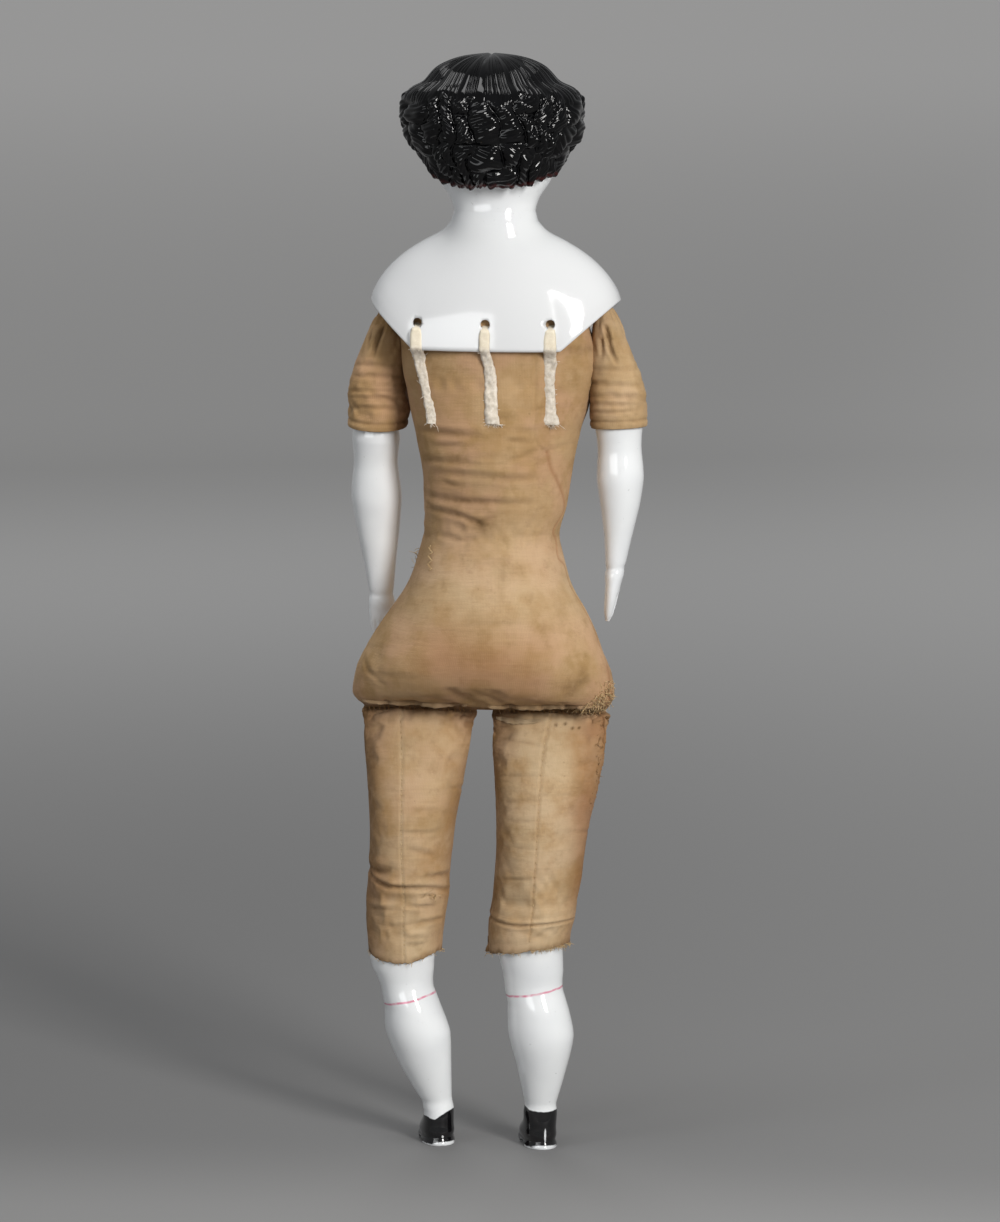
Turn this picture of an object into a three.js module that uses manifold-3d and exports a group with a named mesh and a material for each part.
// China doll: a glazed porcelain shoulder head, forearms and lower legs on a stuffed muslin body.
// Millimetres, +Z up. The doll faces -Y, so its left hand is on the +X side. It stands on its soles at z = 0.

import * as THREE from 'three';
import { mergeVertices } from 'three/addons/utils/BufferGeometryUtils.js';
import Module from 'manifold-3d';

const wasm = await Module();
wasm.setup();

// Fits and stock
const FIT = 0.3; // gap between pieces that touch
const CLOTH = 0.7; // thickness of the muslin
const WALL = 3; // thickness of the porcelain castings
const THREAD_RADIUS = 0.5; // sewing thread of the seams
const STITCH_SWING = 0.8; // how far a stitch leans to each side of its seam

// Lower legs, from the sole up
const LEG_LENGTH = 106; // sole to the rim inside the cloth
const LEG_TUCK = 14; // rim hidden above the thigh's hem
const LEG_RIM_RADIUS = 15.5;
const LEG_HOLLOW = 60; // depth of the hollow below the rim
const GARTER_HEIGHT = 76;
const GARTER_RADIUS = 13.2; // the narrow place just above the painted garter line
const CALF_HEIGHT = 56;
const CALF_WIDTH = 30.4;
const CALF_FRONT = 14;
const CALF_BACK = 17;
const CALF_BOW = 2.4; // outward bow of the calf
const ANKLE_HEIGHT = 20;
const ANKLE_WIDTH = 13.8;
const ANKLE_DEPTH = 15.4;
const BOOT_HEIGHT = 16.5;
const BOOT_TOP_EDGE = 0.8; // boot's top edge proud of the ankle
const FOOT_LENGTH = 37;
const FOOT_WIDTH = 15.5;
const HEEL_REACH = 10.5; // heel behind the ankle's axis
const ARCH_RADIUS = 6; // round of the cut between heel and sole
const ARCH_HEIGHT = 2.4;
const ARCH_BEHIND_TOE = 20.4; // middle of that cut from the tip of the toe

// Thighs
const THIGH_LENGTH = 112.4; // hip seam to hem
const THIGH_TOP_WIDTH = 54;
const THIGH_MIDDLE_WIDTH = 43.5;
const THIGH_KNEE_WIDTH = 38.5;
const THIGH_FRONT = 17; // reach in front of the seam line, at the fullest place
const THIGH_BACK = 21;
const KNEE_ABOVE_RIM = 7; // stuffed end of the thigh above the porcelain rim
const LEFT_HIP_X = 34.8;
const LEFT_KNEE_X = 41;
const LEFT_FOOT_X = 25.5;
const LEFT_LEG_LEAN = 0.217; // sideways run of the shin per unit of height
const LEFT_TOE_TURN = 21; // degrees towards the doll's left
const RIGHT_HIP_X = -25.7;
const RIGHT_KNEE_X = -18.4;
const RIGHT_FOOT_X = -21.4;
const RIGHT_LEG_LEAN = 0.05;
const RIGHT_TOE_TURN = 24;
const LEG_Y = 3; // the legs' axis behind the plate's tips
const THIGH_SEAM_FRONT = 0.8; // half-thickness of the flat seam at the hip
const THIGH_SEAM_BACK = 1.2;
const CUFF_EASE = 0.4; // slack of the thigh's cloth over the porcelain rim
const THIGH_SQUARE = 2.1; // 2 is a true oval, and more is boxier

// Torso, heights measured above the hip seam
const TORSO_LENGTH = 170; // hip seam to the plate's lower edge
const TORSO_Y = 3;
const HIP_HEIGHT = 12;
const HIP_WIDTH = 120.4;
const HIP_FRONT = 31;
const HIP_BACK = 37;
const HIP_SHIFT = 4.8; // the hips lean this far to the doll's left
const WAIST_HEIGHT = 84;
const WAIST_WIDTH = 63.4;
const WAIST_FRONT = 22.6;
const WAIST_BACK = 25.4;
const CHEST_WIDTH = 87;
const SHOULDER_WIDTH = 89;
const HIP_SEAM_FRONT = 1.4; // half-thickness of the flat lower seam
const HIP_SEAM_BACK = 2;
const TORSO_SQUARE = 2.15;

// Shoulder plate
const PLATE_TIP_X = 57.5; // half the width across the pointed tips
const PLATE_TIP_RISE = 20.5; // tips above the lower edge
const PLATE_CORNER_X = 34.4; // half the straight lower edge
const PLATE_BACK = 34;
const PLATE_FRONT = 36;
const NECK_RISE = 56; // foot of the neck above the plate's lower edge
const SEW_HOLE_X = 30.3;
const SEW_HOLE_RISE = 11; // sew holes above the lower edge
const SEW_HOLE_RADIUS = 2.15;

// Head
const NECK_WIDTH = 37.5;
const NECK_DEPTH = 33;
const NECK_Y = 3;
const NECK_FLARE = 1.2; // foot of the neck wider than the neck
const HEAD_RISE = 76; // crown above the foot of the neck
const HAIR_WIDTH = 85;
const HAIR_BACK = 42;
const FACE_WIDTH = 63;
const FACE_FRONT = 37.5;
const SKULL_BACK = 36; // back of the bare head, under the hair
const NOSE_REACH = 3;
const NOSE_RISE = 25.8; // tip of the nose above the foot of the neck
const NOSE_SPAN = 9.1;
const HEAD_Y = -1;
const HEAD_LEAN = 2.4; // the crown leans to the doll's left

// Moulded hair: heights above the foot of the neck
const FOREHEAD_HAIR_RISE = 58; // lower edge over the forehead
const CHEEK_HAIR_RISE = 22.5; // lower edge beside the cheeks
const NAPE_HAIR_RISE = 18;
const HAIR_EDGE = 1.5; // height over which the lower edge comes out
const FACE_TURN = 40; // degrees from the middle of the face to the hair beside it
const NAPE_TURN = 130;
const NOTCH_RISE = 65; // the hair is drawn in here between crown and curls
const NOTCH_SPAN = 6;
const NOTCH_DEPTH = 2.2;
const CURL_DEPTH = 1.8; // grooves between the large curls
const CURL_TIER_RISE = 40; // curls alternate above and below this height
const HEAD_RISES = [
  4.6, 7.6, 10.3, 14, 17, 20, 24.5, 29, 33.5, 38, 42.5, 47, 51.5, 55.5, 58, 60.5, 63, 65.5, 68.5, 71.5, 74, 75.8,
];

// Arms
const ARM_INSET = 2.5; // shoulder pivot inside the plate's tip
const ARM_DROP = 9; // shoulder pivot below the plate's tip
const LEFT_SLEEVE_LENGTH = 51.5;
const RIGHT_SLEEVE_LENGTH = 49;
const SLEEVE_GATHER_WIDTH = 7; // where the sleeve is gathered to the shoulder
const SLEEVE_TOP_WIDTH = 10;
const SLEEVE_NECK = 14; // the gathered, empty stretch below the shoulder
const ARM_RIM_RADIUS = 12; // porcelain inside the sleeve
const ARM_HOLLOW = 30;
const LEFT_ARM_TUCK = 16; // porcelain rim hidden above the hem
const RIGHT_ARM_TUCK = 24;
const ELBOW_BELOW_RIM = 50;
const ELBOW_WIDTH = 24.6;
const ELBOW_DEPTH = 22.6;
const FOREARM_LENGTH = 45; // elbow to wrist
const WRIST_WIDTH = 11.2;
const WRIST_DEPTH = 9;
const HAND_LENGTH = 24;
const HAND_WIDTH = 13;
const HAND_THICKNESS = 8;
const HAND_CURL = 7; // fingertips lean this far to the palm side
const LEFT_ARM_OUT = 2.2; // degrees away from the body
const LEFT_ARM_FORWARD = 7.5;
const LEFT_PALM_TURN = 80; // palm turned from the thigh to the back
const RIGHT_ARM_OUT = 2.4;
const RIGHT_ARM_FORWARD = 0;
const RIGHT_PALM_TURN = 8;

// Bindings in the grooves of the porcelain limbs
const GROOVE_BELOW_RIM = 4;
const GROOVE_WIDTH = 3.6;
const GROOVE_DEPTH = 1.4;

// Tapes through the sew holes
const TAPE_WIDTH = 6;
const TAPE_AT_HOLE = 2.6; // width where the tape is drawn together in its hole
const TAPE_THICKNESS = 0.9;
const TAPE_TAIL = 34; // length on the body below the plate's edge
const LEFT_TAPE_DRIFT = -7.5; // sideways run of each tail
const MIDDLE_TAPE_DRIFT = -4.5;
const RIGHT_TAPE_DRIFT = 1;

// Mends
const MEND_THREAD_RADIUS = 0.3;
const MEND_SWAY = 1.1; // how far a mend's stitch leans to each side of its run
const HIP_MEND_STITCHES = 4;
const WAIST_MEND_STITCHES = 3;

// Seams
const HIP_STITCHES = 10;
const SHOULDER_WINDINGS = 4;

// Facets round each kind of piece
const HEAD_SIDES = 32;
const TORSO_SIDES = 28;
const THIGH_SIDES = 20;
const LEG_SIDES = 20;
const ARM_SIDES = 16;
const THREAD_SIDES = 4;
const SHOULDER_THREAD_SIDES = 8;
const SEW_HOLE_SIDES = 12;
const ARCH_SIDES = 24;

// Heights that follow from the sizes above
const seamRoom = STITCH_SWING + THREAD_RADIUS + FIT;
const hemZ = LEG_LENGTH - LEG_TUCK;
const hipZ = hemZ + THIGH_LENGTH + seamRoom;
const plateEdgeZ = hipZ + TORSO_LENGTH;
const plateTipZ = plateEdgeZ + PLATE_TIP_RISE;
const neckZ = plateEdgeZ + NECK_RISE;
const armX = PLATE_TIP_X - ARM_INSET;
const armZ = plateTipZ - ARM_DROP;

const porcelain = new THREE.MeshStandardMaterial({ color: 0xf2f3f4, roughness: 0.12 });
const muslin = new THREE.MeshStandardMaterial({ color: 0xb08a58, roughness: 0.92 });
const cottonTape = new THREE.MeshStandardMaterial({ color: 0xe9dcc2, roughness: 0.9 });
const stuffing = new THREE.MeshStandardMaterial({ color: 0xd8cbb0, roughness: 1 });
const linenThread = new THREE.MeshStandardMaterial({ color: 0xc9ad7e, roughness: 0.9 });

// Shape helpers

const radians = THREE.MathUtils.degToRad;
const lerp = THREE.MathUtils.lerp;

function signedPower(value, exponent) {
  return Math.sign(value) * Math.abs(value) ** exponent;
}

// One level ring of a lofted piece. front and back are the reaches along -Y and +Y,
// square makes the oval boxier above 2, and twist turns the oval about Z.
function ring({ x = 0, y = 0, z, halfWidth, front, back = front, square = 2, twist = 0 }, sides) {
  const points = [];
  for (let k = 0; k < sides; k += 1) {
    const angle = (2 * Math.PI * k) / sides - twist;
    const across = halfWidth * signedPower(Math.cos(angle), 2 / square);
    const reach = Math.sin(angle) > 0 ? back : front;
    const along = reach * signedPower(Math.sin(angle), 2 / square);
    points.push(new THREE.Vector3(
      x + across * Math.cos(twist) - along * Math.sin(twist),
      y + across * Math.sin(twist) + along * Math.cos(twist),
      z,
    ));
  }
  return points;
}

// A closed skin over a row of rings, with a fan of triangles over each end. Each four-sided patch folds
// along its shorter diagonal, so that skins one inside another fold alike.
function loft(rings) {
  const sides = rings[0].length;
  const points = rings.flat();
  const index = [];
  for (let r = 0; r + 1 < rings.length; r += 1) {
    for (let k = 0; k < sides; k += 1) {
      const a = r * sides + k;
      const b = r * sides + ((k + 1) % sides);
      const [c, d] = [b + sides, a + sides];
      const shorter = points[a].distanceTo(points[c]) <= points[b].distanceTo(points[d]);
      index.push(...(shorter ? [a, b, c, a, c, d] : [a, b, d, b, c, d]));
    }
  }
  const ends = [[rings[0], 0], [rings.at(-1), (rings.length - 1) * sides]];
  ends.forEach(([end, first], which) => {
    const middle = end.reduce((sum, p) => sum.add(p), new THREE.Vector3()).divideScalar(sides);
    const centre = points.push(middle) - 1;
    for (let k = 0; k < sides; k += 1) {
      const a = first + k;
      const b = first + ((k + 1) % sides);
      index.push(...(which === 0 ? [b, a, centre] : [a, b, centre]));
    }
  });
  return facingOut(points, index);
}

// Turns the triangles over where the skin was wound inside out.
function facingOut(points, index) {
  let volume = 0;
  for (let i = 0; i < index.length; i += 3) {
    const [a, b, c] = [points[index[i]], points[index[i + 1]], points[index[i + 2]]];
    volume += a.dot(new THREE.Vector3().crossVectors(b, c));
  }
  const turned = [];
  for (let i = 0; i < index.length; i += 3) {
    turned.push(index[i], ...(volume > 0 ? [index[i + 1], index[i + 2]] : [index[i + 2], index[i + 1]]));
  }
  const geometry = new THREE.BufferGeometry();
  geometry.setAttribute('position', new THREE.Float32BufferAttribute(points.flatMap((p) => p.toArray()), 3));
  geometry.setIndex(turned);
  return geometry;
}

function inset(section, by) {
  const { halfWidth, front, back = front } = section;
  return { ...section, halfWidth: halfWidth - by, front: front - by, back: back - by };
}

// A cup: up the outside sections, over the rim and back along the inside ones.
function cup(outside, inside, sides) {
  return loft([...outside, ...inside.toReversed()].map((section) => ring(section, sides)));
}

// A round thread along points, its sections square to the way it runs.
function thread(points, radius, sides = THREAD_SIDES) {
  const up = new THREE.Vector3(0, 0, 1);
  return loft(points.map((point, k) => {
    const ahead = points[Math.min(k + 1, points.length - 1)];
    const behind = points[Math.max(k - 1, 0)];
    const along = new THREE.Vector3().subVectors(ahead, behind).normalize();
    const side = new THREE.Vector3().crossVectors(along, up).normalize();
    const over = new THREE.Vector3().crossVectors(side, along);
    return Array.from({ length: sides }, (_, s) => {
      const angle = (2 * Math.PI * s) / sides;
      return point.clone()
        .addScaledVector(side, radius * Math.cos(angle))
        .addScaledVector(over, radius * Math.sin(angle));
    });
  }));
}

function solidOf(geometry) {
  const bare = geometry.clone();
  bare.deleteAttribute('normal');
  bare.deleteAttribute('uv');
  const merged = mergeVertices(bare);
  return new wasm.Manifold(new wasm.Mesh({
    numProp: 3,
    vertProperties: new Float32Array(merged.getAttribute('position').array),
    triVerts: new Uint32Array(merged.getIndex().array),
  }));
}

function cut(geometry, cutters) {
  const solid = cutters.reduce((left, cutter) => left.subtract(solidOf(cutter)), solidOf(geometry));
  const mesh = solid.getMesh();
  const result = new THREE.BufferGeometry();
  result.setAttribute('position', new THREE.Float32BufferAttribute(mesh.vertProperties, 3));
  result.setIndex(new THREE.Uint32BufferAttribute(mesh.triVerts, 1));
  return result;
}

function named(name, geometry, material) {
  geometry.computeVertexNormals();
  const mesh = new THREE.Mesh(geometry, material);
  mesh.name = name;
  return mesh;
}

// Shoulder plate: it drapes from the foot of the neck to a rim with two pointed tips.
// DRAPE pairs the way out from neck to rim with the way down.
const DRAPE = [
  [0, 0], [0.12, 0.13], [0.35, 0.26], [0.56, 0.4], [0.73, 0.55], [0.87, 0.72], [0.96, 0.88], [1, 1],
];

function plateRim(angle, inside) {
  const [cos, sin] = [Math.cos(angle), Math.sin(angle)];
  const reach = sin > 0 ? PLATE_BACK : PLATE_FRONT;
  const slantX = reach;
  const slantY = PLATE_TIP_X - PLATE_CORNER_X;
  const slant = Math.hypot(slantX, slantY);
  const toSlant = (PLATE_TIP_X * slantX) / slant - inside;
  const slantReach = toSlant / ((Math.abs(cos) * slantX + Math.abs(sin) * slantY) / slant);
  const edgeReach = Math.abs(sin) > 0.01 ? (reach - inside) / Math.abs(sin) : Infinity;
  const radius = Math.min(slantReach, edgeReach);
  const x = radius * cos;
  const lift = (Math.abs(x) - PLATE_CORNER_X) / (PLATE_TIP_X - PLATE_CORNER_X);
  return new THREE.Vector3(x, radius * sin, plateEdgeZ + PLATE_TIP_RISE * THREE.MathUtils.clamp(lift, 0, 1));
}

// A point of the plate's skin: angle round the neck, way out and way down, and depth below the glaze.
function platePoint(angle, [out, down], inside = 0) {
  const rim = plateRim(angle, inside);
  const neckX = (NECK_WIDTH / 2 + NECK_FLARE - inside) * Math.cos(angle);
  const neckY = NECK_Y + (NECK_DEPTH / 2 + NECK_FLARE - inside) * Math.sin(angle);
  const sag = 4 * inside * down * (1 - down);
  return new THREE.Vector3(
    lerp(neckX, rim.x, out),
    lerp(neckY, rim.y, out),
    lerp(neckZ, rim.z, down) - sag,
  );
}

function plateRing(drape, inside) {
  const turn = (2 * Math.PI) / HEAD_SIDES;
  return Array.from({ length: HEAD_SIDES }, (_, k) => platePoint(turn * k, drape, inside));
}

// Head sections: height above the foot of the neck as a share of HEAD_RISE, then half width, front and back.
function headSection(height, halfWidth, front, back) {
  return {
    x: HEAD_LEAN * height,
    y: lerp(NECK_Y, HEAD_Y, Math.min(1, height * 4)),
    z: neckZ + HEAD_RISE * height,
    halfWidth,
    front,
    back,
  };
}

// The bare head, with the face and the nape.
function skullSections() {
  const neck = NECK_WIDTH / 2;
  const deep = NECK_DEPTH / 2;
  const face = FACE_WIDTH / 2;
  return [
    headSection(0.06, neck, deep, deep),
    headSection(0.1, neck + 0.8, 0.68 * FACE_FRONT, deep + 0.6),
    headSection(0.135, neck + 2, 0.88 * FACE_FRONT, deep + 1),
    headSection(0.21, 0.78 * face, 0.96 * FACE_FRONT, 0.56 * SKULL_BACK),
    headSection(0.33, 0.92 * face, 0.97 * FACE_FRONT, 0.78 * SKULL_BACK),
    headSection(0.5, face, 0.97 * FACE_FRONT, 0.97 * SKULL_BACK),
    headSection(0.61, face, 0.97 * FACE_FRONT, SKULL_BACK),
    headSection(0.71, 0.96 * face, 0.96 * FACE_FRONT, 0.97 * SKULL_BACK),
    headSection(0.82, 0.84 * face, 0.86 * FACE_FRONT, 0.85 * SKULL_BACK),
    headSection(1, 0.1 * face, 0.1 * FACE_FRONT, 0.1 * SKULL_BACK),
  ];
}

// The outside of the hair, from the nape to the crown.
function hairSections() {
  const hair = HAIR_WIDTH / 2;
  return [
    headSection(0.185, 0.56 * hair, 0.94 * FACE_FRONT, 0.55 * HAIR_BACK),
    headSection(0.23, 0.63 * hair, 0.96 * FACE_FRONT, 0.74 * HAIR_BACK),
    headSection(0.31, 0.72 * hair, 0.97 * FACE_FRONT, 0.88 * HAIR_BACK),
    headSection(0.4, 0.83 * hair, 0.97 * FACE_FRONT, 0.95 * HAIR_BACK),
    headSection(0.5, 0.94 * hair, 0.97 * FACE_FRONT, 0.99 * HAIR_BACK),
    headSection(0.6, hair, FACE_FRONT, HAIR_BACK),
    headSection(0.68, 0.985 * hair, FACE_FRONT, 0.985 * HAIR_BACK),
    headSection(0.75, 0.93 * hair, FACE_FRONT, 0.94 * HAIR_BACK),
    headSection(0.82, 0.83 * hair, 0.94 * FACE_FRONT, 0.86 * HAIR_BACK),
    headSection(0.885, 0.69 * hair, 0.83 * FACE_FRONT, 0.74 * HAIR_BACK),
    headSection(0.94, 0.52 * hair, 0.65 * FACE_FRONT, 0.57 * HAIR_BACK),
    headSection(0.98, 0.31 * hair, 0.4 * FACE_FRONT, 0.34 * HAIR_BACK),
    headSection(1, 0.06 * hair, 0.08 * FACE_FRONT, 0.07 * HAIR_BACK),
  ];
}

// The section at a height, between the listed ones.
function sectionAt(sections, rise) {
  const z = neckZ + rise;
  const above = sections.findIndex((section) => section.z >= z);
  const high = sections[Math.max(above, 1)];
  const low = sections[Math.max(above, 1) - 1];
  const share = THREE.MathUtils.clamp((z - low.z) / (high.z - low.z), 0, 1);
  const mixed = Object.keys(low).map((key) => [key, lerp(low[key], high[key], share)]);
  return { ...Object.fromEntries(mixed), z };
}

// Height of the hair's lower edge at a corner of the ring: brow, then cheek, then nape.
function hairEdge(corner) {
  const turn = (360 * corner) / HEAD_SIDES;
  const fromFront = Math.abs(((turn + 270) % 360) - 180);
  if (fromFront < FACE_TURN) {
    return FOREHEAD_HAIR_RISE;
  }
  return fromFront < NAPE_TURN ? CHEEK_HAIR_RISE : NAPE_HAIR_RISE;
}

// How far the hair stands out of its sections: drawn in under the crown, with every other corner a groove.
function hairRelief(corner, rise) {
  const beside = Math.abs(Math.cos((2 * Math.PI * corner) / HEAD_SIDES));
  const notch = Math.max(0, 1 - Math.abs(rise - NOTCH_RISE) / NOTCH_SPAN);
  const groove = (corner + (rise > CURL_TIER_RISE ? 1 : 0)) % 2;
  const curled = rise < FOREHEAD_HAIR_RISE ? 1 : 0;
  return -NOTCH_DEPTH * beside * notch - CURL_DEPTH * groove * curled;
}

function headRing(rise) {
  const skull = ring(sectionAt(skullSections(), rise), HEAD_SIDES);
  const outline = sectionAt(hairSections(), rise);
  const hair = ring(outline, HEAD_SIDES);
  return skull.map((point, k) => {
    const share = THREE.MathUtils.clamp((rise - hairEdge(k)) / HAIR_EDGE, 0, 1);
    const out = new THREE.Vector3(hair[k].x - outline.x, hair[k].y - outline.y, 0).normalize();
    return point.clone().lerp(hair[k].addScaledVector(out, hairRelief(k, rise)), share);
  });
}

// The nose is the front point of the rings between brow and lip.
function withNose(points, rise) {
  const front = (3 * HEAD_SIDES) / 4;
  const share = THREE.MathUtils.clamp(1 - Math.abs(rise - NOSE_RISE) / NOSE_SPAN, 0, 1);
  points[front].y -= NOSE_REACH * share;
  return points;
}

function shoulderHead() {
  const hollow = skullSections().filter((section) => section.z < neckZ + 0.75 * HEAD_RISE);
  const rings = [
    ...HEAD_RISES.toReversed().map((rise) => withNose(headRing(rise), rise)),
    ...DRAPE.map((drape) => plateRing(drape, 0)),
    ...DRAPE.toReversed().map((drape) => plateRing(drape, WALL)),
    ...hollow.map((section) => ring(inset(section, WALL), HEAD_SIDES)),
  ];
  return cut(loft(rings), sewHoles());
}

// Sew holes, and how far each tape's tail drifts sideways from its hole
const sewPlaces = {
  left: { x: SEW_HOLE_X, drift: LEFT_TAPE_DRIFT },
  middle: { x: 0, drift: MIDDLE_TAPE_DRIFT },
  right: { x: -SEW_HOLE_X, drift: RIGHT_TAPE_DRIFT },
};

function sewHoles() {
  const length = 4 * WALL;
  return Object.values(sewPlaces).flatMap(({ x }) => [1, -1].map((facing) => {
    const hole = new THREE.CylinderGeometry(SEW_HOLE_RADIUS, SEW_HOLE_RADIUS, length, SEW_HOLE_SIDES);
    const face = plateFace(x, plateEdgeZ + SEW_HOLE_RISE, facing);
    return hole.translate(x, face, plateEdgeZ + SEW_HOLE_RISE);
  }));
}

// Y of the plate's glazed face at a place on its back (facing 1) or front (facing -1).
function plateFace(x, z, facing) {
  const reach = facing > 0 ? PLATE_BACK : PLATE_FRONT;
  const angle = facing * Math.atan2(reach, x);
  const skin = DRAPE.map((drape) => platePoint(angle, drape));
  const lower = skin.findIndex((point) => point.z <= z);
  if (lower < 0) return skin.at(-1).y;
  const [above, below] = [skin[lower - 1], skin[lower]];
  return lerp(above.y, below.y, (above.z - z) / (above.z - below.z));
}

// Torso

function torsoSections() {
  const section = (up, halfWidth, front, back, x) => (
    { x, y: TORSO_Y, z: hipZ + up, halfWidth, front, back, square: TORSO_SQUARE }
  );
  const hip = HIP_WIDTH / 2;
  const waist = WAIST_WIDTH / 2;
  const chest = CHEST_WIDTH / 2;
  const hipToWaist = (share) => lerp(HIP_HEIGHT, WAIST_HEIGHT, share);
  const waistToPlate = (share) => lerp(WAIST_HEIGHT, TORSO_LENGTH, share);
  const plateBack = PLATE_BACK - WALL - FIT - TORSO_Y;
  const plateFront = PLATE_FRONT - WALL - FIT + TORSO_Y;
  return [
    section(seamRoom, 0.94 * hip, HIP_SEAM_FRONT, HIP_SEAM_BACK, HIP_SHIFT),
    section(0.3 * HIP_HEIGHT, 0.97 * hip, 0.13 * HIP_FRONT, 0.36 * HIP_BACK, HIP_SHIFT),
    section(0.62 * HIP_HEIGHT, 0.995 * hip, 0.31 * HIP_FRONT, 0.66 * HIP_BACK, HIP_SHIFT),
    section(HIP_HEIGHT, hip, 0.5 * HIP_FRONT, 0.84 * HIP_BACK, HIP_SHIFT),
    section(hipToWaist(0.12), 0.96 * hip, 0.78 * HIP_FRONT, 0.97 * HIP_BACK, HIP_SHIFT),
    section(hipToWaist(0.26), 0.87 * hip, 0.96 * HIP_FRONT, HIP_BACK, 0.82 * HIP_SHIFT),
    section(hipToWaist(0.43), lerp(waist, hip, 0.5), HIP_FRONT, 0.94 * HIP_BACK, 0.6 * HIP_SHIFT),
    section(hipToWaist(0.7), lerp(waist, hip, 0.21), lerp(WAIST_FRONT, HIP_FRONT, 0.42),
      lerp(WAIST_BACK, HIP_BACK, 0.42), 0.45 * HIP_SHIFT),
    section(WAIST_HEIGHT, waist, WAIST_FRONT, WAIST_BACK, 0.26 * HIP_SHIFT),
    section(waistToPlate(0.3), lerp(waist, chest, 0.22), lerp(WAIST_FRONT, plateFront, 0.35),
      lerp(WAIST_BACK, plateBack, 0.42), 0),
    section(waistToPlate(0.62), lerp(waist, chest, 0.66), lerp(WAIST_FRONT, plateFront, 0.75),
      lerp(WAIST_BACK, plateBack, 0.8), 0),
    section(waistToPlate(0.88), lerp(waist, chest, 0.95), 0.97 * plateFront, 0.98 * plateBack, 0),
    section(TORSO_LENGTH, chest, plateFront, plateBack, 0),
  ];
}

// The top of the torso lies just inside the plate, and is left open below the neck.
function shoulderSections() {
  const widths = [[6, 1], [5, 0.97], [4, 0.86], [3, 0.68]];
  return widths.map(([step, share]) => {
    const back = platePoint(Math.PI / 2, DRAPE[step], WALL);
    const front = platePoint(-Math.PI / 2, DRAPE[step], WALL);
    return {
      x: 0,
      y: TORSO_Y,
      z: back.z - FIT,
      halfWidth: (share * SHOULDER_WIDTH) / 2,
      front: TORSO_Y - front.y - FIT,
      back: back.y - TORSO_Y - FIT,
      square: TORSO_SQUARE,
    };
  });
}

const torsoShape = [...torsoSections(), ...shoulderSections()];
const torsoInside = torsoShape.slice(1);

function torsoCover() {
  return cup(torsoShape, torsoInside.map((section) => inset(section, CLOTH)), TORSO_SIDES);
}

function torsoStuffing() {
  const filling = torsoInside.map((section) => inset(section, CLOTH + FIT));
  filling[0].z += FIT;
  const crown = { ...inset(filling.at(-1), filling.at(-1).back / 2), z: filling.at(-1).z + CLOTH };
  return loft([...filling, crown].map((section) => ring(section, TORSO_SIDES)));
}

// The torso's section at a height, between the two that are given.
function torsoAt(z) {
  const upper = torsoShape.findIndex((section) => section.z >= z);
  const [low, high] = [torsoShape[upper - 1], torsoShape[upper]];
  const share = (z - low.z) / (high.z - low.z);
  const between = (field) => lerp(low[field], high[field], share);
  return { x: between('x'), halfWidth: between('halfWidth'), front: between('front'), back: between('back') };
}

// Y of the torso's cloth at a place on its back (facing 1) or front (facing -1).
function torsoFace(x, z, facing) {
  const section = torsoAt(z);
  const across = Math.abs(x - section.x) / section.halfWidth;
  const reach = facing > 0 ? section.back : section.front;
  return TORSO_Y + facing * reach * (1 - across ** TORSO_SQUARE) ** (1 / TORSO_SQUARE);
}

// Tapes: drawn together in the hole, then flat over the plate's edge and down the cloth.

function tape({ x, drift }, facing) {
  const holeZ = plateEdgeZ + SEW_HOLE_RISE;
  const holeY = plateFace(x, holeZ, facing);
  const tailEnd = plateEdgeZ - TAPE_TAIL;
  const flat = (z, width, face) => {
    const middle = x + drift * THREE.MathUtils.clamp((plateEdgeZ - z) / TAPE_TAIL, 0, 1);
    const across = [-1, 0, 1].map((side) => middle + (side * width) / 2);
    const under = across.map((at) => new THREE.Vector3(at, face(at, z, facing) + facing * FIT, z));
    const over = under.map((point) => point.clone().setY(point.y + facing * TAPE_THICKNESS));
    return [...under, ...over.toReversed()];
  };
  const drawnTogether = (y) => {
    const across = [-1, 0, 1].map((side) => x + (side * TAPE_AT_HOLE) / 2);
    const under = across.map((at) => new THREE.Vector3(at, y, holeZ - TAPE_THICKNESS / 2));
    const over = under.map((point) => point.clone().setZ(holeZ + TAPE_THICKNESS / 2));
    return [...under, ...over.toReversed()];
  };
  const belowHole = holeZ - SEW_HOLE_RADIUS;
  const overEdge = (at) => plateFace(at, plateEdgeZ, facing);
  const tailSteps = [0.25, 0.5, 0.75, 1].map((share) => lerp(plateEdgeZ, tailEnd, share));
  return loft([
    drawnTogether(holeY - facing * 0.6 * WALL),
    drawnTogether(holeY + facing * FIT),
    flat(belowHole, 0.75 * TAPE_WIDTH, plateFace),
    flat(lerp(belowHole, plateEdgeZ, 0.4), TAPE_WIDTH, plateFace),
    flat(plateEdgeZ - FIT, TAPE_WIDTH, overEdge),
    flat(plateEdgeZ - 2 * WALL, TAPE_WIDTH, torsoFace),
    ...tailSteps.map((z) => flat(z, TAPE_WIDTH, torsoFace)),
  ]);
}

// Lower legs: one casting from the boot's flat sole to the rim under the cloth.

// The shin leans and bows between the ankle and the hem. The boot stays under the ankle.
function shinX(leg, z) {
  const rise = Math.max(0, z - ANKLE_HEIGHT);
  const share = Math.min(1, rise / (hemZ - ANKLE_HEIGHT));
  return leg.footX + leg.lean * rise + leg.side * CALF_BOW * Math.sin(Math.PI * share);
}

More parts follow.
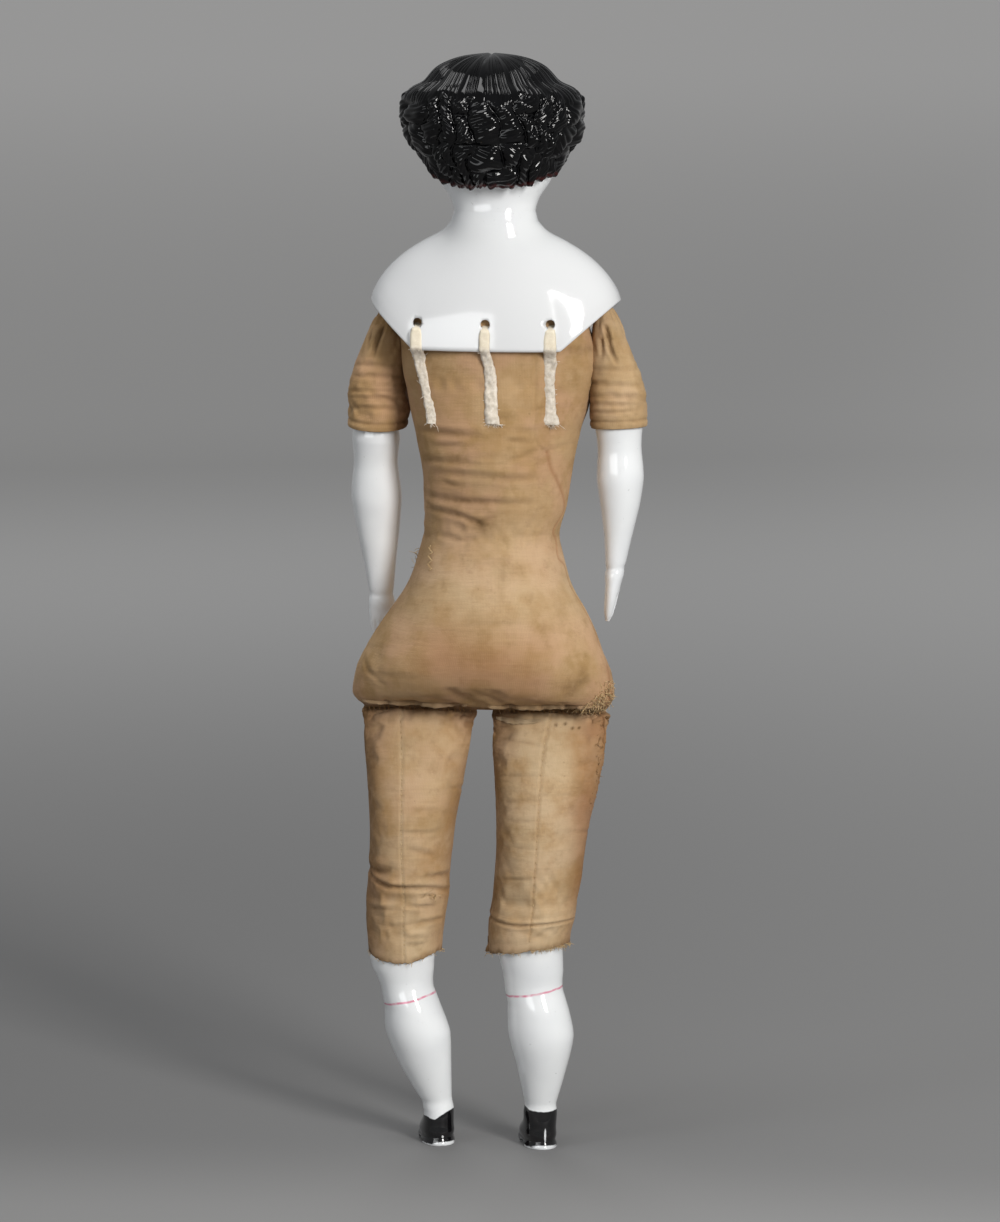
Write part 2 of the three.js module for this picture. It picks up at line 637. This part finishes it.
function legSections(leg) {
  const toe = FOOT_LENGTH - HEEL_REACH;
  const foot = FOOT_WIDTH / 2;
  const ankle = ANKLE_WIDTH / 2;
  const section = (z, halfWidth, front, back) => (
    { x: shinX(leg, z), y: LEG_Y, z, halfWidth, front, back, twist: radians(leg.toeTurn) }
  );
  const calf = CALF_WIDTH / 2;
  const shin = ANKLE_DEPTH / 2;
  const toCalf = (up, wide, front, back) => section(
    lerp(ANKLE_HEIGHT, CALF_HEIGHT, up),
    lerp(ankle, calf, wide),
    lerp(shin, CALF_FRONT, front),
    lerp(shin, CALF_BACK, back),
  );
  const round = (z, radius) => section(z, radius, radius, radius);
  return [
    section(0, 0.9 * foot, 0.95 * toe, 0.9 * HEEL_REACH),
    section(0.1 * BOOT_HEIGHT, foot, toe, HEEL_REACH),
    section(0.35 * BOOT_HEIGHT, foot, 0.93 * toe, 0.94 * HEEL_REACH),
    section(0.55 * BOOT_HEIGHT, 0.95 * foot, 0.68 * toe, 0.88 * HEEL_REACH),
    section(0.78 * BOOT_HEIGHT, 0.96 * foot, lerp(ankle, toe, 0.18), 0.86 * HEEL_REACH),
    section(BOOT_HEIGHT, ankle + BOOT_TOP_EDGE, shin + BOOT_TOP_EDGE, shin + 0.75 * BOOT_TOP_EDGE),
    toCalf(0, 0, 0, 0),
    toCalf(0.3, 0.35, 0.26, 0.37),
    toCalf(0.55, 0.63, 0.56, 0.7),
    toCalf(0.8, 0.9, 0.84, 0.96),
    toCalf(1, 1, 1, 1),
    section(lerp(CALF_HEIGHT, GARTER_HEIGHT, 0.55), lerp(calf, GARTER_RADIUS, 0.35), CALF_FRONT,
      0.95 * CALF_BACK),
    round(GARTER_HEIGHT, GARTER_RADIUS),
    round(lerp(GARTER_HEIGHT, hemZ, 0.65), lerp(GARTER_RADIUS, LEG_RIM_RADIUS, 0.7)),
    round(hemZ, LEG_RIM_RADIUS),
    ...groove(LEG_LENGTH, LEG_RIM_RADIUS).map(([z, radius]) => round(z, radius)),
    round(LEG_LENGTH, LEG_RIM_RADIUS),
  ];
}

// The groove for the binding, as heights and radii below a rim at the given height.
function groove(rimZ, radius) {
  const top = rimZ - GROOVE_BELOW_RIM;
  const bottom = top - GROOVE_WIDTH;
  const floor = radius - GROOVE_DEPTH;
  return [[bottom, radius], [bottom + FIT, floor], [top - FIT, floor], [top, radius]];
}

function legHollow(leg) {
  const floor = LEG_LENGTH - LEG_HOLLOW;
  const section = (z, radius) => (
    { x: shinX(leg, z), y: LEG_Y, z, halfWidth: radius, front: radius, back: radius, twist: 0 }
  );
  const mouth = LEG_RIM_RADIUS - WALL;
  const neck = GARTER_RADIUS - WALL;
  return [
    section(floor, 0.6 * neck),
    section(lerp(floor, GARTER_HEIGHT, 0.3), neck),
    section(GARTER_HEIGHT, neck),
    section(hemZ, mouth),
    section(LEG_LENGTH, mouth),
  ];
}

function lowerLeg(leg) {
  const arch = new THREE.CylinderGeometry(ARCH_RADIUS, ARCH_RADIUS, 2 * FOOT_WIDTH, ARCH_SIDES);
  arch.rotateZ(Math.PI / 2);
  arch.translate(0, HEEL_REACH - FOOT_LENGTH + ARCH_BEHIND_TOE, ARCH_HEIGHT - ARCH_RADIUS);
  arch.rotateZ(radians(leg.toeTurn));
  arch.translate(shinX(leg, 0), LEG_Y, 0);
  return cut(cup(legSections(leg), legHollow(leg), LEG_SIDES), [arch]);
}

// A band of thread that fills a groove, as a ring with a rounded section.
function binding(rimZ, radius) {
  const inner = radius - GROOVE_DEPTH + FIT;
  const top = rimZ - GROOVE_BELOW_RIM - 2 * FIT;
  const bottom = top - GROOVE_WIDTH + 4 * FIT;
  const middle = (top + bottom) / 2;
  const crown = radius - FIT;
  const profile = [[inner, bottom], [crown, bottom], [radius, middle], [crown, top], [inner, top]];
  const points = [...profile, profile[0]].map(([r, z]) => new THREE.Vector2(r, z));
  return new THREE.LatheGeometry(points, LEG_SIDES).rotateX(Math.PI / 2);
}

// Thighs: flat along the hip seam, full in the middle, drawn in over the porcelain.

function thighX(leg, z) {
  const knee = LEG_LENGTH + KNEE_ABOVE_RIM;
  return lerp(leg.hipX, leg.kneeX, THREE.MathUtils.clamp((hipZ - z) / (hipZ - knee), 0, 1));
}

function thighSections(leg) {
  const section = (z, width, front, back) => (
    { x: thighX(leg, z), y: LEG_Y, z, halfWidth: width / 2, front, back, square: THIGH_SQUARE }
  );
  const top = hipZ - seamRoom;
  const knee = LEG_LENGTH + KNEE_ABOVE_RIM;
  const down = (share) => lerp(top, knee, share);
  const sleeve = LEG_RIM_RADIUS + FIT + CLOTH;
  const overShin = (z, ease) => {
    const radius = sleeve + ease;
    return { x: shinX(leg, z), y: LEG_Y, z, halfWidth: radius, front: radius, back: radius, square: 2 };
  };
  return [
    section(top, 0.97 * THIGH_TOP_WIDTH, THIGH_SEAM_FRONT, THIGH_SEAM_BACK),
    section(down(0.07), THIGH_TOP_WIDTH, 0.21 * THIGH_FRONT, 0.36 * THIGH_BACK),
    section(down(0.17), 0.985 * THIGH_TOP_WIDTH, 0.5 * THIGH_FRONT, 0.68 * THIGH_BACK),
    section(down(0.34), lerp(THIGH_MIDDLE_WIDTH, THIGH_TOP_WIDTH, 0.5), 0.93 * THIGH_FRONT,
      0.93 * THIGH_BACK),
    section(down(0.55), THIGH_MIDDLE_WIDTH, THIGH_FRONT, THIGH_BACK),
    section(down(0.82), lerp(THIGH_MIDDLE_WIDTH, THIGH_KNEE_WIDTH, 0.65), 1.06 * THIGH_FRONT,
      0.93 * THIGH_BACK),
    section(knee, THIGH_KNEE_WIDTH, 1.06 * THIGH_FRONT, 0.87 * THIGH_BACK),
    overShin(LEG_LENGTH, CUFF_EASE),
    overShin(lerp(LEG_LENGTH, hemZ, 0.4), 0),
    overShin(hemZ, 0),
  ];
}

function thighCover(leg) {
  const outside = thighSections(leg);
  return cup(outside, outside.slice(2).map((section) => inset(section, CLOTH)), THIGH_SIDES);
}

// The filling of the thigh, with a plug that runs down into the porcelain's hollow.
function thighStuffing(leg) {
  const filling = thighSections(leg).slice(2, 7).map((section) => inset(section, CLOTH + FIT));
  filling[0].z -= FIT;
  const plug = legHollow(leg).toReversed().map((section) => inset(section, FIT));
  plug.at(-1).z += FIT;
  const shoulder = { ...inset(thighSections(leg)[7], CLOTH + FIT), z: LEG_LENGTH + FIT };
  const neck = { ...plug[0], z: LEG_LENGTH + FIT };
  return loft([...filling, shoulder, neck, ...plug].map((section) => ring(section, THIGH_SIDES)));
}

// The stitches of a flat hip seam: a thread that weaves along the hinge line.
function hipStitching(leg) {
  const half = 0.45 * THIGH_TOP_WIDTH;
  const steps = 4 * HIP_STITCHES;
  return thread(Array.from({ length: steps + 1 }, (_, k) => new THREE.Vector3(
    leg.hipX + lerp(-half, half, k / steps),
    LEG_Y,
    hipZ + STITCH_SWING * Math.sin((2 * Math.PI * k) / 4),
  )), THREAD_RADIUS);
}

// Arms, built hanging from the shoulder pivot at their own origin

function sleeveSections(arm) {
  const section = (down, width, depth) => (
    { z: -down, halfWidth: width / 2, front: depth / 2, back: depth / 2 }
  );
  const hem = arm.sleeve;
  const rim = hem - arm.tuck;
  const full = 2 * (ARM_RIM_RADIUS + FIT + CLOTH);
  const neck = SLEEVE_NECK;
  return [
    section(2 * FIT, SLEEVE_GATHER_WIDTH, 0.57 * SLEEVE_GATHER_WIDTH),
    section(0.2 * neck, SLEEVE_TOP_WIDTH, 0.6 * SLEEVE_TOP_WIDTH),
    section(0.58 * neck, 1.25 * SLEEVE_TOP_WIDTH, 0.75 * SLEEVE_TOP_WIDTH),
    section(neck, lerp(SLEEVE_TOP_WIDTH, full, 0.45), lerp(SLEEVE_TOP_WIDTH, full, 0.08)),
    section(lerp(neck, rim, 0.5), lerp(SLEEVE_TOP_WIDTH, full, 0.78), lerp(SLEEVE_TOP_WIDTH, full, 0.6)),
    section(rim - 2 * FIT, full, full),
    section(lerp(rim, hem, 0.5), full, full),
    section(hem, full, full),
  ];
}

function sleeveCover(arm) {
  const outside = sleeveSections(arm);
  return cup(outside, outside.slice(2).map((section) => inset(section, CLOTH)), ARM_SIDES);
}

function sleeveStuffing(arm) {
  const filling = sleeveSections(arm).slice(2, 6).map((section) => inset(section, CLOTH + FIT));
  filling[0].z -= FIT;
  const rimZ = arm.tuck - arm.sleeve;
  const round = (z, radius) => ({ z, halfWidth: radius, front: radius, back: radius });
  const plug = ARM_RIM_RADIUS - WALL - FIT;
  return loft([
    ...filling,
    round(rimZ + FIT, ARM_RIM_RADIUS),
    round(rimZ + FIT, plug),
    round(rimZ - ARM_HOLLOW + FIT, plug),
  ].map((section) => ring(section, ARM_SIDES)));
}

// One casting from the rim in the sleeve to the fingertips. The palm side is -X before the palm turns.
function forearmSections(arm) {
  const rimZ = arm.tuck - arm.sleeve;
  const elbow = rimZ - ELBOW_BELOW_RIM;
  const wrist = elbow - FOREARM_LENGTH;
  const tip = wrist - HAND_LENGTH;
  const turn = radians(arm.palmTurn);
  const palm = (z) => HAND_CURL * THREE.MathUtils.clamp((elbow - z) / (elbow - tip), 0, 1) ** 2;
  const section = (z, width, depth) => ({
    x: -arm.side * palm(z) * Math.cos(turn),
    y: palm(z) * Math.sin(turn),
    z,
    halfWidth: depth / 2,
    front: width / 2,
    back: width / 2,
    twist: -arm.side * turn,
  });
  const round = (z, radius) => section(z, 2 * radius, 2 * radius);
  const toWrist = (share, bulge = 1) => section(
    lerp(elbow, wrist, share),
    bulge * lerp(ELBOW_WIDTH, WRIST_WIDTH, share),
    bulge * lerp(ELBOW_DEPTH, WRIST_DEPTH, share),
  );
  const toTip = (share, width, depth) => (
    section(lerp(wrist, tip, share), width * HAND_WIDTH, depth * HAND_THICKNESS)
  );
  return [
    round(rimZ, ARM_RIM_RADIUS),
    ...groove(rimZ, ARM_RIM_RADIUS).toReversed().map(([z, radius]) => round(z, radius)),
    round(lerp(rimZ, elbow, 0.36), ARM_RIM_RADIUS),
    round(lerp(rimZ, elbow, 0.52), 0.93 * ARM_RIM_RADIUS),
    section(lerp(rimZ, elbow, 0.68), 0.84 * ELBOW_WIDTH, 0.9 * ELBOW_DEPTH),
    section(lerp(rimZ, elbow, 0.85), 0.94 * ELBOW_WIDTH, 0.97 * ELBOW_DEPTH),
    toWrist(0),
    toWrist(0.3, 1.02),
    toWrist(0.65, 0.97),
    toWrist(1),
    toTip(0.3, 1, 0.95),
    toTip(0.6, 0.9, 0.8),
    toTip(0.88, 0.55, 0.55),
    toTip(1, 0.15, 0.2),
  ];
}

function forearm(arm) {
  const rimZ = arm.tuck - arm.sleeve;
  const bore = ARM_RIM_RADIUS - WALL;
  const hollow = [rimZ, rimZ - ARM_HOLLOW].map((z) => ({ z, halfWidth: bore, front: bore, back: bore }));
  return cup(forearmSections(arm).toReversed(), hollow.toReversed(), ARM_SIDES);
}

// The thread that ties the gathered top of a sleeve to the shoulder, wound along the pivot line
// and pointed where it goes into the torso's cloth.
function shoulderStitching() {
  const start = torsoAt(armZ).halfWidth + FIT;
  const end = armX - SLEEVE_GATHER_WIDTH / 2 - 2 * FIT;
  const profile = [[0, start]];
  for (let k = 1; k <= 2 * SHOULDER_WINDINGS; k += 1) {
    const radius = 2 * THREAD_RADIUS + (k % 2 === 0 ? 0 : THREAD_RADIUS / 2);
    profile.push([radius, lerp(start, end, k / (2 * SHOULDER_WINDINGS))]);
  }
  profile.push([0, end]);
  const points = profile.map(([r, x]) => new THREE.Vector2(r, x));
  return new THREE.LatheGeometry(points, SHOULDER_THREAD_SIDES).rotateZ(-Math.PI / 2);
}

// Mends: thread laid to and fro over the cloth of the torso's back, from one place to another.

function mend(from, to, stitches) {
  const proud = FIT + MEND_THREAD_RADIUS;
  const steps = 4 * stitches;
  const run = new THREE.Vector2(to.x - from.x, to.z - from.z).normalize();
  return thread(Array.from({ length: steps + 1 }, (_, k) => {
    const side = MEND_SWAY * Math.sin((Math.PI * k) / 2);
    const x = lerp(from.x, to.x, k / steps) - run.y * side;
    const z = lerp(from.z, to.z, k / steps) + run.x * side;
    return new THREE.Vector3(x, torsoFace(x, z, 1) + proud, z);
  }), MEND_THREAD_RADIUS);
}

function hipMend() {
  const across = (share) => HIP_SHIFT - (share * HIP_WIDTH) / 2;
  const from = { x: across(0.62), z: hipZ + 0.7 * HIP_HEIGHT };
  const to = { x: across(0.9), z: hipZ + HIP_HEIGHT };
  return mend(from, to, HIP_MEND_STITCHES);
}

function waistMend() {
  const x = 0.26 * HIP_SHIFT + 0.4 * WAIST_WIDTH;
  const from = { x, z: hipZ + 0.8 * WAIST_HEIGHT };
  const to = { x, z: hipZ + 0.93 * WAIST_HEIGHT };
  return mend(from, to, WAIST_MEND_STITCHES);
}

// Assembly

const doll = new THREE.Group();
doll.name = 'china_doll';

function addBody() {
  doll.add(named('shoulder_head', shoulderHead(), porcelain));
  doll.add(named('torso_cover', torsoCover(), muslin));
  doll.add(named('torso_stuffing', torsoStuffing(), stuffing));
  for (const [place, hole] of Object.entries(sewPlaces)) {
    doll.add(named(`back_tape_${place}`, tape(hole, 1), cottonTape));
    doll.add(named(`front_tape_${place}`, tape(hole, -1), cottonTape));
  }
  doll.add(named('hip_repair_stitching', hipMend(), linenThread));
  doll.add(named('waist_repair_stitching', waistMend(), linenThread));
}

function addLeg(side, leg) {
  const group = new THREE.Group();
  group.name = `${side}_leg`;
  const band = named(`${side}_leg_binding`, binding(LEG_LENGTH, LEG_RIM_RADIUS), linenThread);
  band.position.set(shinX(leg, LEG_LENGTH - GROOVE_BELOW_RIM - GROOVE_WIDTH / 2), LEG_Y, 0);
  group.add(
    named(`${side}_thigh_cover`, thighCover(leg), muslin),
    named(`${side}_thigh_stuffing`, thighStuffing(leg), stuffing),
    named(`${side}_lower_leg`, lowerLeg(leg), porcelain),
    band,
  );
  doll.add(group);
  doll.add(named(`${side}_hip_stitching`, hipStitching(leg), linenThread));
}

function addArm(side, arm) {
  const group = new THREE.Group();
  group.name = `${side}_arm`;
  group.position.set(arm.side * armX, 0, armZ);
  group.rotation.set(-radians(arm.forward), -arm.side * radians(arm.out), 0);
  group.add(
    named(`${side}_sleeve_cover`, sleeveCover(arm), muslin),
    named(`${side}_sleeve_stuffing`, sleeveStuffing(arm), stuffing),
    named(`${side}_forearm`, forearm(arm), porcelain),
    named(`${side}_arm_binding`, binding(arm.tuck - arm.sleeve, ARM_RIM_RADIUS), linenThread),
  );
  doll.add(group);
  const stitching = named(`${side}_shoulder_stitching`, shoulderStitching(), linenThread);
  stitching.position.set(0, 0, armZ);
  stitching.rotation.z = arm.side > 0 ? 0 : Math.PI;
  doll.add(stitching);
}

addBody();
addLeg('left', {
  side: 1,
  hipX: LEFT_HIP_X,
  kneeX: LEFT_KNEE_X,
  footX: LEFT_FOOT_X,
  lean: LEFT_LEG_LEAN,
  toeTurn: LEFT_TOE_TURN,
});
addLeg('right', {
  side: -1,
  hipX: RIGHT_HIP_X,
  kneeX: RIGHT_KNEE_X,
  footX: RIGHT_FOOT_X,
  lean: RIGHT_LEG_LEAN,
  toeTurn: RIGHT_TOE_TURN,
});
addArm('left', {
  side: 1,
  sleeve: LEFT_SLEEVE_LENGTH,
  tuck: LEFT_ARM_TUCK,
  palmTurn: LEFT_PALM_TURN,
  out: LEFT_ARM_OUT,
  forward: LEFT_ARM_FORWARD,
});
addArm('right', {
  side: -1,
  sleeve: RIGHT_SLEEVE_LENGTH,
  tuck: RIGHT_ARM_TUCK,
  palmTurn: RIGHT_PALM_TURN,
  out: RIGHT_ARM_OUT,
  forward: RIGHT_ARM_FORWARD,
});

// The origin is on the floor below the middle of the whole doll.
const box = new THREE.Box3().setFromObject(doll, true);
const middle = box.getCenter(new THREE.Vector3());
doll.position.set(-middle.x, -middle.y, -box.min.z);

export default doll;
